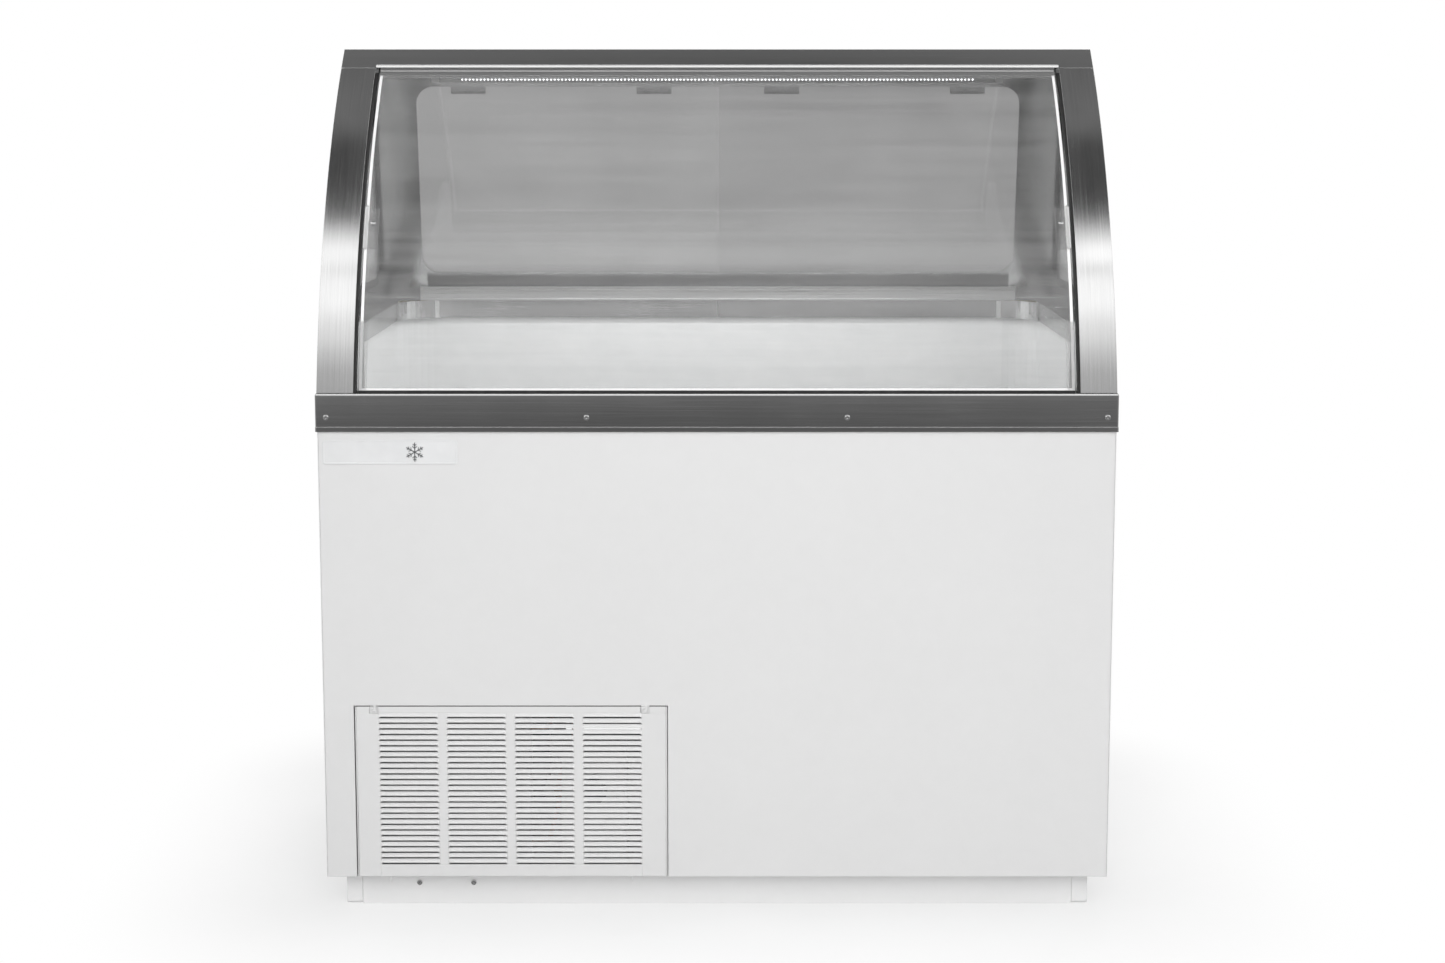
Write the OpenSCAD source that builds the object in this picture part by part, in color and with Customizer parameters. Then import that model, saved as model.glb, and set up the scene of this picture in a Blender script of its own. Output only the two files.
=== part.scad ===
// Ice cream dipping cabinet with a curved glass canopy. Millimetres, +Z up.
// The origin is on the floor under the centre of the cabinet, and the customers' side faces -Y.

/* [Cabinet] */
// Width over the white side panels
body_w = 1200; // [1100:10:1300]
// Depth of the white body, without the rear ledge
body_d = 660; // [640:10:720]
// Height of the body's underside above the floor
body_bottom = 54; // [40:1:80]
// Depth over everything, from the front screws to the rear ledge
overall_d = 705; // [700:1:760]
// Thickness of the outer sheet metal
skin = 1.2; // [0.8:0.1:1.5]

/* [Canopy] */
// Overall height
total_h = 1322; // [1300:1:1340]
// Radius of the curved front
arc_r = 958; // [940:1:980]
// Height of the centre of that curve
arc_z = 601; // [595:1:610]
// Width of the curved front strips
strip_w = 55; // [45:1:60]
// Height of the top cap's front face
cap_h = 30; // [26:1:34]
// Forward lean of the rear opening, in degrees
rear_tilt = 10; // [6:1:12]
// Thickness of the front glass
glass_t = 6; // [5:1:8]

/* [Well] */
// Half the width of the well inside the white liner
well_x = 558; // [540:1:560]
// Height of the work deck round the well
deck_z = 895; // [880:1:900]
// Height of the steel breaker strip under the deck
strip_h = 31; // [25:1:36]

/* [Front trim] */
// Height of the steel band's lower edge
band_bottom = 746; // [740:1:752]
// Height of the steel band's upper edge
band_top = 804; // [800:1:808]
// How far the band stands out of the body
band_proud = 2.5; // [2:0.5:4]

/* [Grille] */
// Left edge of the grille opening, from the centre
grille_x0 = -554; // [-556:1:-550]
// Right edge of the grille opening, from the centre
grille_x1 = -75; // [-80:1:-70]
// Top of the grille opening
grille_top = 324; // [320:1:326]
// Columns of louvres
louvre_cols = 4; // [2:1:4]
// Louvres in each column
louvre_rows = 27; // [10:1:27]

/* [Hidden] */
$fn = 48;

sheet = 1.5;                                   // stainless trim sheet
screw_head = 3;                                // how far a screw head stands out
half_w = body_w / 2;
front_y = -overall_d / 2 + band_proud + screw_head; // Y of the front panel's face
ledge_d = overall_d - band_proud - screw_head; // rear ledge's edge, behind the front face
arc_d = sqrt(arc_r * arc_r - pow(band_top - arc_z, 2)); // centre of the curve, behind the front face
cap_z = total_h - cap_h;
inner_x = half_w - skin - 0.2;                 // inside the side panels
strip_x = half_w - strip_w;                    // inner edge of the curved strips
glass_x = strip_x - 8;                         // half the front glass's width
glass_r = arc_r - 3;                           // outer radius of the front glass
well_d0 = 61;                                  // front and rear faces inside the well
well_d1 = 563;
well_floor = 116;
step_x = -8;                                   // the well is deep to the right of this
step_z = 392;                                  // floor of the shallow part, over the compressor
liner_t = 1;
coil_gap = 11;                                 // room for the evaporator coil behind the liner
slope_d = 604;                                 // foot of the rear opening's slope
opening_x = 519;
opening_v0 = 45;                               // along the slope, from the deck
opening_v1 = 374;
slope_v1 = (total_h - deck_z) / cos(rear_tilt);
lid_gap = 4;                                   // lids stand this far off the rear frame
lid_t = 5;
lid_v0 = 16;
lid_v1 = 386;
lid_x0 = 2;                                    // half the gap between the lids
lid_x1 = 539;
hinge_v = 404;
hinge_n = 9;
hinge_r = 4.5;
pin_r = 2;
hinge_len = 60;
hinge_xs = [110, 430];                         // hinge centres, each side
compartment_x1 = -60;
compartment_z1 = 334;
fan_x = -415;
fan_z = 185;
fan_r = 94;
knob_x = -190;
knob_z = 180;
drain_x = 70;
drain_d = 150;

// ---------- shared shapes ----------

function arc_at(r, z) = arc_d - sqrt(r * r - pow(z - arc_z, 2)); // depth of a radius at a height
function slope_at(n, z) = slope_d + n / cos(rear_tilt) - (z - deck_z) * tan(rear_tilt);
function turned(s, e) = let (t = e - s) t > 180 ? t - 360 : t < -180 ? t + 360 : t;

// An outline with its corners rounded, each to its own radius. 0 leaves a point as it is.
function rounded(points, radii, steps = 6) = [
  for (i = [0:len(points) - 1])
    let (
      p = points[i],
      u = points[(i + len(points) - 1) % len(points)] - p,
      w = points[(i + 1) % len(points)] - p,
      a = u / norm(u),
      b = w / norm(w),
      half = acos(a * b) / 2,
      r = radii[i],
      c = p + (a + b) / norm(a + b) * r / sin(half),
      from = p + a * r / tan(half) - c,
      to = p + b * r / tan(half) - c,
      s = atan2(from.y, from.x),
      sweep = turned(s, atan2(to.y, to.x))
    )
      each (r == 0 ? [p] : [for (k = [0:steps]) c + r * [cos(s + sweep * k / steps), sin(s + sweep * k / steps)]])
];
function box_outline(x0, x1, y0, y1, r, steps = 6) =
  rounded([[x0, y0], [x1, y0], [x1, y1], [x0, y1]], is_list(r) ? r : [r, r, r, r], steps);

// Both ends of a symmetrical pair.
module pair() {
  children();
  mirror([1, 0, 0]) children();
}

// A box from its lowest to its highest corner, with depth counted from the front face.
module block(x0, x1, d0, d1, z0, z1)
  translate([x0, front_y + d0, z0]) cube([x1 - x0, d1 - d0, z1 - z0]);

// A flat outline in depth and height, extruded across the width.
module across(x0, x1) translate([x0, front_y, 0]) rotate([90, 0, 90]) linear_extrude(x1 - x0) children();

// A flat outline in width and height, extruded in depth.
module through(d0, d1) translate([0, front_y + d1, 0]) rotate([90, 0, 0]) linear_extrude(d1 - d0) children();

// A flat outline in width and depth, extruded upwards.
module upwards(z0, z1) translate([0, front_y, z0]) linear_extrude(z1 - z0) children();

// A ring of the front curve between two radii and two heights.
module curve_ring(r1, r0, z0, z1) intersection() {
  translate([arc_d, arc_z]) difference() {
    circle(r1, $fn = 256);
    circle(r0, $fn = 256);
  }
  translate([-50, z0]) square([500, z1 - z0]);
}

// Children are drawn with Z up the rear opening's slope and Y out of it.
module on_slope() translate([0, front_y + slope_d, deck_z]) rotate([rear_tilt, 0, 0]) children();
module slope_block(x0, x1, n0, n1, v0, v1) on_slope() translate([x0, n0, v0]) cube([x1 - x0, n1 - n0, v1 - v0]);
module slope_plate(n0, n1) on_slope() translate([0, n1, 0]) rotate([90, 0, 0]) linear_extrude(n1 - n0) children();

module rod(a, b, r) {
  v = b - a;
  translate(a) rotate([0, acos(v.z / norm(v)), atan2(v.y, v.x)]) cylinder(h = norm(v), r = r, $fn = 24);
}

// A route with its corners turned to arcs of one radius.
function bent(points, r, steps = 4) = [
  for (i = [0:len(points) - 1])
    if (i == 0 || i == len(points) - 1) points[i]
    else let (
      a = unit(points[i - 1] - points[i]),
      b = unit(points[i + 1] - points[i]),
      half = acos(a * b) / 2,
      c = points[i] + unit(a + b) * r / sin(half),
      e1 = unit(points[i] + a * r / tan(half) - c),
      sweep = 180 - 2 * half
    )
      for (k = [0:steps]) c + r * (cos(sweep * k / steps) * e1 - sin(sweep * k / steps) * a)
];
function unit(v) = v / norm(v);
function heading(points, i) =
  unit((i < len(points) - 1 ? unit(points[i + 1] - points[i]) : [0, 0, 0])
    + (i > 0 ? unit(points[i] - points[i - 1]) : [0, 0, 0]));
// A direction across the route at each point, carried along without twisting.
function carried(points, i, u) = let (t = heading(points, i), w = unit(u - (u * t) * t))
  i == len(points) - 1 ? [w] : concat([w], carried(points, i + 1, w));

// A tube along a route, drawn with flat sides.
module pipe(points, r, bend = 12, sides = 10) {
  p = bent(points, bend);
  n = len(p);
  t0 = heading(p, 0);
  across = carried(p, 0, abs(t0.z) < 0.9 ? [0, 0, 1] : [1, 0, 0]);
  polyhedron(
    points = [for (i = [0:n - 1], k = [0:sides - 1])
      p[i] + r * (cos(360 * k / sides) * across[i] + sin(360 * k / sides) * cross(heading(p, i), across[i]))],
    faces = concat(
      [[for (k = [0:sides - 1]) k], [for (k = [sides - 1:-1:0]) (n - 1) * sides + k]],
      [for (i = [0:n - 2], k = [0:sides - 1]) let (a = i * sides + k, b = i * sides + (k + 1) % sides)
        [a, a + sides, b + sides, b]]));
}

// A domed screw head facing the front, with its shank behind the face.
module screw(x, d, z, r = 4.5, shank = 1) translate([x, front_y + d, z]) rotate([90, 0, 0]) {
  cylinder(h = screw_head, r1 = r, r2 = r * 0.6);
  translate([0, 0, -shank]) cylinder(h = shank, r = 2);
}

// ---------- base ----------

base_front = 30;
base_rear = 630;
base_x = 575;
side_rail_w = 24;

module cross_rail() {
  x = base_x - side_rail_w - 0.3;
  block(-x, x, base_front, base_front + 2, 0, body_bottom - 0.1);
  block(-x, x, base_front + 2, base_front + 30, 0, 2);
  block(-x, x, base_front + 2, base_front + 20, body_bottom - 2.1, body_bottom - 0.1);
}
module base_rails() color("white") {
  difference() {
    cross_rail();
    for (x = [-462, -378]) translate([x, front_y + base_front, 34]) rotate([90, 0, 0])
      cylinder(h = 10, r = 2.2, center = true);
  }
  translate([0, 2 * front_y + base_front + base_rear, 0]) mirror([0, 1, 0]) cross_rail();
  pair() difference() {
    across(base_x - side_rail_w, base_x)
      polygon(box_outline(base_front, base_rear, 0, body_bottom - 0.1, [6, 6, 0, 0], 4));
    block(base_x - side_rail_w - 1, base_x - 2, base_front + 2, base_rear - 2, 2, body_bottom - 2.1);
  }
}

// ---------- outer shell ----------

module bottom_pan() color("silver") difference() {
  block(-inner_x, inner_x, 1.7, body_d - 1.7, body_bottom, body_bottom + 1.5);
  translate([drain_x, front_y + drain_d, 0]) cylinder(h = 100, r = 15);
}

tab_xs = [-522, -108];
module front_panel() color("white") {
  difference() {
    block(-inner_x, inner_x, 0, skin, body_bottom, band_top - 2);
    block(grille_x0, grille_x1, -1, skin + 1, body_bottom - 1, grille_top);
  }
  block(grille_x0 - skin, grille_x0, skin, 14, body_bottom + 1.7, grille_top + skin);
  block(grille_x1, grille_x1 + skin, skin, 14, body_bottom + 1.7, grille_top + skin);
  block(grille_x0, grille_x1, skin, 14, grille_top, grille_top + skin);
  for (x = tab_xs) {
    block(x - 2, x + 2, 0, skin, grille_top - 9, grille_top);
    block(x - 5, x + 2, 0, skin, grille_top - 9, grille_top - 6.5);
  }
}

module side_panel() across(half_w - skin, half_w) polygon([
  [0, body_bottom], [body_d, body_bottom], [body_d, band_top - 2], [0, band_top - 2]]);
module side_panel_right() color("white") side_panel();
module side_panel_left() color("white") mirror([1, 0, 0]) side_panel();

vent_rows = 14;
gland_x = -540;
gland_z = 96;
module rear_panel() color("white") difference() {
  block(-inner_x + 0.2, inner_x - 0.2, body_d - skin, body_d, body_bottom, deck_z - 2);
  for (row = [0:vent_rows - 1], col = [0, 1])
    block(-490 + col * 210, -310 + col * 210, body_d - 5, body_d + 1, 90 + row * 15, 95 + row * 15);
  translate([gland_x, front_y + body_d, gland_z]) rotate([90, 0, 0]) cylinder(h = 10, r = 8, center = true);
}

// The foam is in slabs that stand a hair apart, with the coil's gap inside them.
module insulation() color("khaki") {
  o = inner_x - 0.2;
  i = well_x + coil_gap;
  f = well_d0 - coil_gap;
  r = well_d1 + coil_gap;
  d1 = body_d - skin - 0.2;
  low = body_bottom + 4;
  top = deck_z - 3;
  s = compartment_x1;
  c = compartment_z1;
  gap = 0.4;
  floor_z = well_floor - liner_t - 0.2;
  shelf_z = step_z - liner_t - 0.2;
  block(s, o, skin + 0.2, f, low, band_top - 4);
  block(-o, s - gap, skin + 0.2, f, c, band_top - 4);
  block(s, o, r, d1, low, top);
  block(-o, s - gap, r, d1, c, top);
  block(-o, -i, f + gap, r - gap, c, top);
  block(i, o, f + gap, r - gap, low, top);
  difference() {
    block(s, i - gap, f + gap, r - gap, low, floor_z);
    translate([drain_x, front_y + drain_d, 0]) cylinder(h = 200, r = 15.5);
  }
  block(-i + gap, s - gap, f + gap, r - gap, c, shelf_z);
  block(s, step_x - coil_gap, f + gap, r - gap, floor_z + gap, shelf_z);
}

// The white tub that lines the well, with a step over the compressor.
module well_outline(grow) polygon(box_outline(
  -well_x - grow, well_x + grow, well_d0 - grow, well_d1 + grow, [20, 20, 60 + grow, 60 + grow], 8));
module liner() color("white") difference() {
  union() {
    upwards(step_z - liner_t, deck_z - 2.5) well_outline(liner_t);
    block(step_x - liner_t, well_x + liner_t, well_d0 - liner_t, well_d1 + liner_t, well_floor - liner_t, step_z);
  }
  upwards(step_z, deck_z) well_outline(0);
  block(step_x, well_x, well_d0, well_d1, well_floor, step_z + 1);
  block(-glass_x, glass_x, well_d0 - 5, well_d0 + 0.5, band_top - 4, deck_z);
  translate([drain_x, front_y + drain_d, 0]) cylinder(h = 200, r = 12.2);
}

// Galvanised sheet between the foam and the compressor's compartment.
module compartment_lining() color("silver") {
  t = 0.8;
  d0 = 15;
  d1 = body_d - skin - 0.3;
  block(-inner_x + 0.2, compartment_x1 - 0.6, d0, d1, compartment_z1 - 0.2 - t, compartment_z1 - 0.2);
  block(compartment_x1 - 0.6 - t, compartment_x1 - 0.6, d0, d1, body_bottom + 2, compartment_z1 - 0.2 - t);
  block(-inner_x + 0.2, -inner_x + 0.2 + t, d0, d1, body_bottom + 2, compartment_z1 - 0.2 - t);
}

// One length of copper tube wound round the liner, climbing along the back.
coil_r = 4;
function coil_turn(left, z) = [
  for (p = [[well_x + 6, well_d1 + 6], [well_x + 6, well_d0 - 6], [left, well_d0 - 6], [left, well_d1 + 6]])
    [p.x, front_y + p.y, z]
];
module evaporator_coil() color("peru") pipe(concat(
  [for (z = [150:90:330]) each coil_turn(step_x - 6, z)],
  [for (z = [440:75:740]) each coil_turn(-well_x - 6, z)]), coil_r, bend = 6);

// ---------- steel trim of the body ----------

module front_sill() color("lightgrey") {
  block(-strip_x, strip_x, 8.2, well_d0 - 3, band_top - sheet, band_top);
  block(-glass_x + 1, glass_x - 1, well_d0 - 3, well_d0 + 1.4, band_top - sheet, band_top);
  block(-glass_x + 1, glass_x - 1, well_d0 + 0.2, well_d0 + 1.4, band_top - 19, band_top - sheet);
}

band_screws = [-586, -195.5, 195.5, 586];
screw_z = 768;
module trim_band_front() color("grey") {
  x = half_w + band_proud;
  difference() {
    union() {
      block(-x, x, -band_proud, -band_proud + sheet, band_bottom, band_top);
      block(-x, x, -band_proud + sheet, -0.1, band_bottom, band_bottom + sheet);
      block(-x, x, -band_proud + sheet, 8, band_top - sheet, band_top);
    }
    for (s = band_screws) translate([s, front_y, screw_z]) rotate([90, 0, 0]) cylinder(h = 20, r = 2.2, center = true);
    pair() block(half_w - 0.1, x - sheet, -band_proud + sheet, 9, band_top - sheet - 1, band_top + 1);
  }
  pair() block(x - sheet, x, -band_proud + sheet, 30, band_bottom, band_top);
}

module trim_band_sides() color("grey") pair() {
  x = half_w + band_proud;
  block(x - sheet, x, 30.4, body_d, band_bottom, band_top);
  block(half_w + 0.1, x - sheet, 30.4, body_d, band_bottom, band_bottom + sheet);
  block(half_w + 0.1, x - sheet, 30.4, body_d, band_top - sheet, band_top);
}

module name_plate() color("whitesmoke")
  through(-1, 0) polygon(box_outline(-593, -390, 696.5, 734, 5));

strip_gap = 6;                                 // the strip stands this far inside the liner's face
module breaker_outline(grow) polygon(box_outline(
  -well_x + strip_gap - grow, well_x - strip_gap + grow, -50, well_d1 - strip_gap + grow,
  [0, 0, 58 + grow, 58 + grow], 10));
module breaker_strip_right() color("grey") intersection() {
  upwards(deck_z - strip_h, deck_z - 1.6) difference() {
    breaker_outline(sheet);
    breaker_outline(0);
  }
  block(0.4, half_w, well_d0 + 8, well_d1, 0, deck_z);
}
module breaker_strip_left() color("grey") mirror([1, 0, 0]) breaker_strip_right();

// Bright covers that wrap the strip's rounded rear corners.
module breaker_corner_caps() color("lightgrey") pair() intersection() {
  upwards(deck_z - strip_h - 1.5, deck_z - 1.6) difference() {
    breaker_outline(-0.2);
    breaker_outline(-1.4);
  }
  translate([well_x - strip_gap - 66, front_y + well_d1 - strip_gap - 66, 0]) cube([70, 70, deck_z]);
}

module side_decks() color("lightgrey") pair() difference() {
  block(well_x - strip_gap, inner_x - 0.2, well_d0 + 2, well_d1 - strip_gap - 0.2, deck_z - sheet, deck_z);
  translate([deck_screw_x, front_y + deck_screw_d, deck_z]) cylinder(h = 10, r = 2.2, center = true);
}
deck_screw_x = 557 + 6;
deck_screw_d = 377;

// Low extruded rail across the back of the well.
rail_d = 553;
rail_top = 918;
module rear_rail() color("gainsboro") across(-opening_x, opening_x) polygon([
  [rail_d, deck_z], [rail_d - 1.5, deck_z], [rail_d - 1.5, deck_z + 1.5], [rail_d, deck_z + 3],
  [rail_d, rail_top - 8], [rail_d - 2, rail_top - 7], [rail_d - 2, rail_top - 5], [rail_d, rail_top - 4],
  [rail_d, rail_top - 2.5], [rail_d - 2, rail_top - 2], [rail_d - 2, rail_top], [rail_d + 2.5, rail_top],
  [rail_d + 2.5, deck_z + 2], [rail_d + 26, deck_z + 2], [rail_d + 26, deck_z]]);

// Steel ledge behind the lids; its raised part, clear of their grips, holds scoops and tubs.
tray_d = 634;
module rear_ledge() color("lightgrey") {
  block(-inner_x + 0.2, inner_x - 0.2, well_d1 - strip_gap, slope_d + 2, deck_z - sheet, deck_z);
  block(-half_w, half_w, slope_d + 2, ledge_d, deck_z - sheet, deck_z);
  block(-half_w, half_w, tray_d, ledge_d, deck_z - sheet, deck_z + 1);
  block(-half_w, half_w, ledge_d - sheet, ledge_d, deck_z - 30, deck_z - sheet);
}

module drain_tube() color("white") translate([drain_x, front_y + drain_d, 0]) difference() {
  union() {
    translate([0, 0, well_floor]) cylinder(h = 2, r = 22);
    translate([0, 0, 50]) cylinder(h = well_floor - 50, r = 12);
    translate([0, 0, 48]) cylinder(h = 5, r = 14);
    translate([0, 0, 18]) cylinder(h = 30, r = 10);
  }
  translate([0, 0, 10]) cylinder(h = 200, r = 8);
}
module drain_plug() color("dimgray") translate([drain_x, front_y + drain_d, well_floor + 2]) {
  translate([0, 0, -14]) cylinder(h = 14, r1 = 7, r2 = 7.7);
  cylinder(h = 4, r = 14);
  translate([0, 0, 4]) cylinder(h = 6, r = 3);
  translate([0, 0, 15]) rotate([90, 0, 0]) rotate_extrude() translate([7, 0]) circle(2, $fn = 24);
}

module panel_screws() color("silver") {
  for (x = band_screws) screw(x, -band_proud, screw_z);
  for (x = [-462, -378]) screw(x, base_front, 34);
  pair() translate([deck_screw_x, front_y + deck_screw_d, deck_z]) cylinder(h = 2, r1 = 4.5, r2 = 3);
  for (x = [-575, 0, 575], z = [80, 700]) translate([x, front_y + body_d, z]) rotate([-90, 0, 0])
    cylinder(h = screw_head, r1 = 4.5, r2 = 2.7);
}

// ---------- canopy ----------

frame_z0 = band_top + 0.2;
frame_z1 = cap_z - 0.5;
win_z0 = deck_z + 40;
win_z1 = cap_z - 40;
win_n = -45;

// The side window's outline, grown by a margin.
function window_path(m) = let (z0 = win_z0 - m, z1 = win_z1 + m, n = 10) rounded(
  concat(
    [for (k = [0:n]) let (z = z0 + (z1 - z0) * k / n) [arc_at(arc_r - strip_w + m, z), z]],
    [[slope_at(win_n + m, z1), z1], [slope_at(win_n + m, z0), z0]]
  ),
  concat([18], [for (k = [1:n - 1]) 0], [14, 18, 18])
);

// Sheet-metal end: a skin with a window, and a curved front strip with its return.
module end_frame() {
  across(half_w - sheet, half_w) difference() {
    intersection() {
      translate([arc_d, arc_z]) circle(arc_r, $fn = 256);
      polygon([
        [-9, frame_z0], [body_d, frame_z0], [body_d, deck_z - 1.6], [slope_at(0, deck_z), deck_z - 1.6],
        [slope_at(0, frame_z1), frame_z1], [-9, frame_z1]]);
    }
    polygon(window_path(0));
  }
  across(strip_x, half_w - sheet) curve_ring(arc_r, arc_r - sheet, frame_z0, frame_z1);
  across(strip_x, strip_x + sheet) curve_ring(arc_r - sheet, arc_r - 22, frame_z0, frame_z1);
}
module end_frame_right() color("grey") end_frame();
module end_frame_left() color("grey") mirror([1, 0, 0]) end_frame();

side_glass_x = half_w - sheet - 1.5;
module side_glasses() color("lightblue", 0.4) pair() across(side_glass_x - 5, side_glass_x) polygon(window_path(14));
module side_glass_gaskets() color("black") pair() across(side_glass_x, half_w - sheet) difference() {
  polygon(window_path(14));
  polygon(window_path(1));
}

cap_rear_v = 388;
// The cap's outline at a depth inside its skin, down to a given height.
module cap_outline(inside, z) intersection() {
  translate([arc_d, arc_z]) circle(arc_r - inside, $fn = 256);
  polygon([
    [200, z], [slope_at(1.5 - inside, z), z],
    [slope_at(1.5 - inside, total_h - inside), total_h - inside], [200, total_h - inside]]);
}
module top_cap() color("grey") {
  across(-half_w, half_w) {
    difference() {
      cap_outline(0, cap_z);
      difference() {
        cap_outline(sheet, cap_z - 1);
        square([arc_at(arc_r, cap_z) + 13, cap_z + sheet]);
      }
    }
    translate([slope_d, deck_z]) rotate(rear_tilt) translate([0, cap_rear_v])
      square([1.5, (cap_z - deck_z) / cos(rear_tilt) - cap_rear_v + 3]);
  }
  pair() across(half_w - sheet, half_w) cap_outline(sheet / 2, cap_z);
}

// The glass hangs from a bead along its upper edge, which turns in a rail under the cap.
hinge_bead_z = 1286;
hinge_bead_d = arc_at(glass_r - glass_t / 2, hinge_bead_z);
bead_r = 3.2;
// A flat frame at the bead, with X down along the glass and Y into the cabinet.
module at_bead() translate([hinge_bead_d, hinge_bead_z])
  rotate(atan2(hinge_bead_z - arc_z, hinge_bead_d - arc_d) + 90) children();

module glass_hinge_rail() color("dimgray") across(-glass_x, glass_x) difference() {
  union() {
    translate([hinge_bead_d, hinge_bead_z]) circle(bead_r + 2.4);
    translate([hinge_bead_d - 1.5, hinge_bead_z]) square([7.1, cap_z - hinge_bead_z]);
  }
  translate([hinge_bead_d, hinge_bead_z]) circle(bead_r + 0.06);
  translate([hinge_bead_d, hinge_bead_z]) polygon([
    [0, 0], 12 * [-cos(44), sin(44)], [-14, 0], 20 * [-cos(40), -sin(40)], 12 * [-cos(72), -sin(72)]]);
}

module glass_hinge_clamp() color("dimgray") across(-glass_x, glass_x) {
  at_bead() circle(bead_r);
  at_bead() translate([2, -1.2]) square([5, 2.4]);
  difference() {
    intersection() {
      curve_ring(glass_r + 1.5, glass_r - glass_t - 1.5, 1200, cap_z);
      at_bead() translate([6, -8]) square([7, 16]);
    }
    intersection() {
      curve_ring(glass_r, glass_r - glass_t, 1200, cap_z);
      at_bead() translate([7.5, -8]) square([40, 16]);
    }
  }
}

module front_glass() color("lightblue", 0.4) across(-glass_x, glass_x) difference() {
  curve_ring(glass_r, glass_r - glass_t, band_top + 4.2, cap_z);
  at_bead() translate([-31, -20]) square([38.6, 40]);
}

module glass_seals() color("black") {
  block(-glass_x, glass_x, 1.5, 13, band_top, band_top + 4);
  pair() across(strip_x - 3, strip_x - 0.1) curve_ring(glass_r - 1, glass_r - 14, frame_z0 + 0.3, cap_z - 8);
}

// Channels over the lower corners of the glass.
guard_top = 909;
module edge_channel(width, wall, z0, z1) difference() {
  across(glass_x - width, glass_x + wall) curve_ring(glass_r + wall, glass_r - glass_t - wall, z0, z1);
  across(glass_x - width - 1, glass_x) curve_ring(glass_r, glass_r - glass_t, z0 - 1, z1 + 1);
}
module glass_edge_guards() color("silver", 0.6) pair() edge_channel(11, 2, band_top + 4.2, guard_top);

clip_z0 = 1016;
clip_z1 = 1076;
clip_screw_x = glass_x - 12;
clip_screw_z = 1053;
clip_angle = asin((clip_screw_z - arc_z) / glass_r);
module glass_clips() color("silver", 0.6) pair() edge_channel(20, 2, clip_z0, clip_z1);
module glass_clip_screws() color("silver") pair()
  translate([clip_screw_x, front_y + arc_d, arc_z]) rotate([90 - clip_angle, 0, 0])
    translate([0, 0, glass_r + 2]) cylinder(h = 2.5, r1 = 4, r2 = 2.5);

// Light bar under the cap, facing the customers.
led_d = 318;
led_z = 1274;
module led_housing() color("silver") {
  difference() {
    block(-462, 462, led_d, led_d + 22, led_z - 7.5, led_z + 8);
    block(-450, 450, led_d - 1, led_d + 14, led_z - 6, led_z + 6);
  }
  pair() block(430, 455, led_d + 4, led_d + 18, led_z + 8, total_h - sheet);
}
module led_strip() color("white") block(-415, 415, led_d + 12, led_d + 14, led_z - 4, led_z + 4);

// ---------- rear opening and lids ----------

module rear_frame() color("grey") slope_plate(-1.5, 0) difference() {
  polygon([[-inner_x + 0.1, 0.6], [inner_x - 0.1, 0.6], [inner_x - 0.1, 402], [-inner_x + 0.1, 402]]);
  polygon(box_outline(-opening_x, opening_x, opening_v0, opening_v1, 30));
}

// One hinge's fixed half: a leaf on the cap's flange and two outer knuckles.
knuckle = 18;
module hinge_base(x) {
  difference() {
    union() {
      slope_block(x - hinge_len / 2, x + hinge_len / 2, 1.5, 3.5, hinge_v - 5, hinge_v + 22);
      for (s = [-1, 1]) {
        k = x + s * (hinge_len - knuckle) / 2;
        slope_block(k - knuckle / 2, k + knuckle / 2, 3, hinge_n, hinge_v - 2, hinge_v + hinge_r);
        on_slope() translate([k - knuckle / 2, hinge_n, hinge_v]) rotate([0, 90, 0]) cylinder(h = knuckle, r = hinge_r);
      }
    }
    on_slope() translate([x - hinge_len, hinge_n, hinge_v]) rotate([0, 90, 0]) cylinder(h = 2 * hinge_len, r = pin_r);
  }
}
module lid_hinge_bases() color("silver") for (x = hinge_xs, s = [-1, 1]) hinge_base(s * x);
module lid_hinge_pins() color("silver") for (x = hinge_xs, s = [-1, 1]) on_slope()
  translate([s * x - hinge_len / 2, hinge_n, hinge_v]) rotate([0, 90, 0]) cylinder(h = hinge_len, r = pin_r);

// The moving half: one middle knuckle and a leaf on the lid's outer face.
module hinge_leaf(x) {
  w = hinge_len - 2 * knuckle - 1;
  n0 = lid_gap + lid_t;
  difference() {
    union() {
      slope_block(x - hinge_len / 2, x + hinge_len / 2, n0, n0 + 2, lid_v1 - 26, lid_v1 + 8);
      slope_block(x - w / 2, x + w / 2, n0, n0 + 2, lid_v1 + 7, hinge_v);
      on_slope() translate([x - w / 2, hinge_n, hinge_v]) rotate([0, 90, 0]) cylinder(h = w, r = hinge_r);
    }
    on_slope() translate([x - w, hinge_n, hinge_v]) rotate([0, 90, 0]) cylinder(h = 2 * w, r = pin_r + 0.06);
  }
}
module lid_left_hinge_leaves() color("silver") for (x = hinge_xs) hinge_leaf(-x);
module lid_right_hinge_leaves() color("silver") for (x = hinge_xs) hinge_leaf(x);

module lid_panel() slope_plate(lid_gap, lid_gap + lid_t)
  polygon(box_outline(lid_x0, lid_x1, lid_v0, lid_v1, [14, 30, 10, 10]));
module lid_right_panel() color("lightblue", 0.35) lid_panel();
module lid_left_panel() color("lightblue", 0.35) mirror([1, 0, 0]) lid_panel();

// A grip strip with a finger lip along each lid's lower edge.
module lid_grip() {
  n0 = lid_gap + lid_t;
  x0 = lid_x0 + 20;
  x1 = lid_x1 - 40;
  slope_block(x0, x1, n0, n0 + 2, lid_v0 + 2, lid_v0 + 26);
  slope_block(x0, x1, n0 + 2, n0 + 18, lid_v0 + 20, lid_v0 + 23);
  slope_block(x0, x1, n0 + 15, n0 + 18, lid_v0 + 10, lid_v0 + 20);
}
module lid_right_grip() color("dimgray") lid_grip();
module lid_left_grip() color("dimgray") mirror([1, 0, 0]) lid_grip();

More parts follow.
